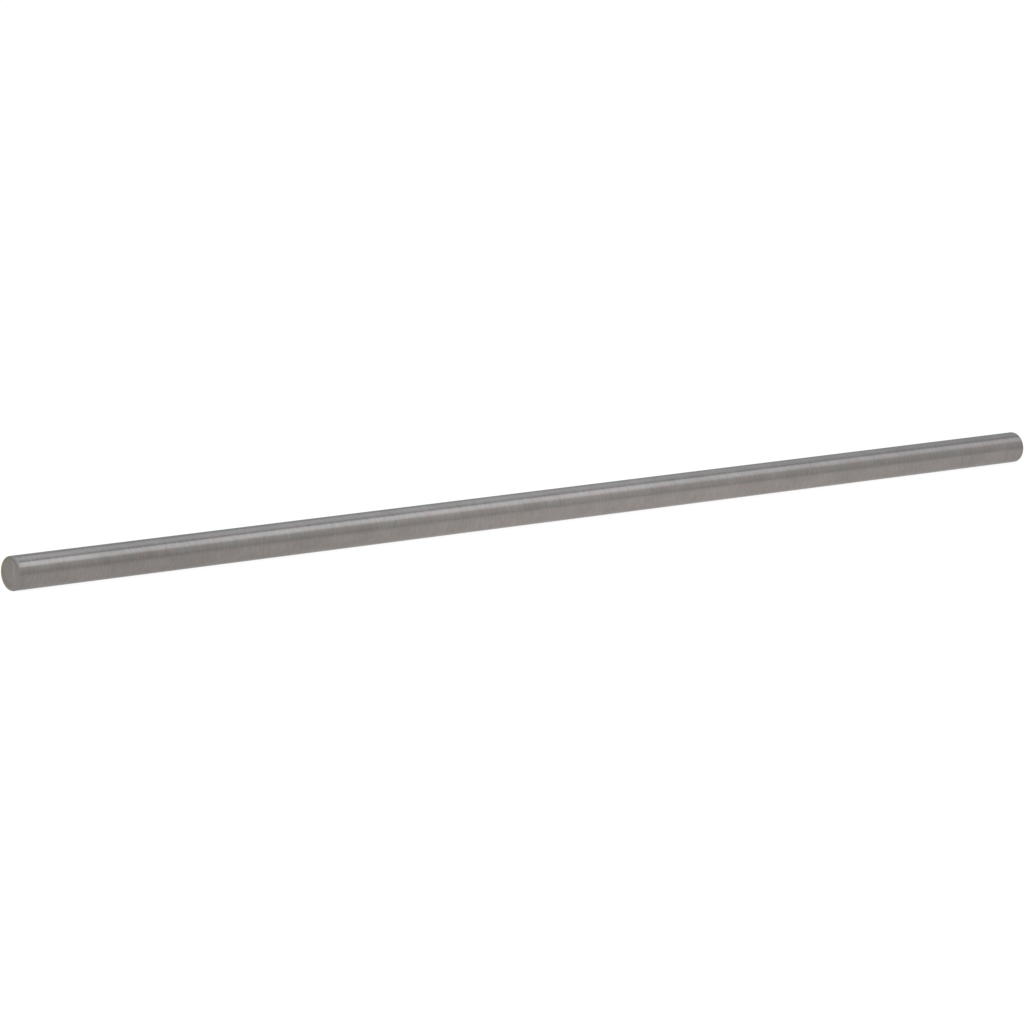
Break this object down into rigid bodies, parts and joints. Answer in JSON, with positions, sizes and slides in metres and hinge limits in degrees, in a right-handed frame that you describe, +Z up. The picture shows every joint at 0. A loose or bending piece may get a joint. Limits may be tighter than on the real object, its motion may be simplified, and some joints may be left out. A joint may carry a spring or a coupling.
{
  "type": "pin gauge",
  "caption": "Plain ground cylindrical pin gauge with square end faces and lightly rounded edges, for checking the size of small holes.",
  "frame": {"origin": "middle of the pin: on its axis, halfway between the end faces", "axes": "+X along the pin's axis, +Z up; the two ends are alike"},
  "size_m": [0.0508, 0.0012, 0.0012],
  "materials": {
    "ground_steel": "satin ground, with faint grinding lines round the pin"
  },
  "bodies": {
    "root": {"gauge_pin": "ground_steel"}
  },
  "joints": []
}
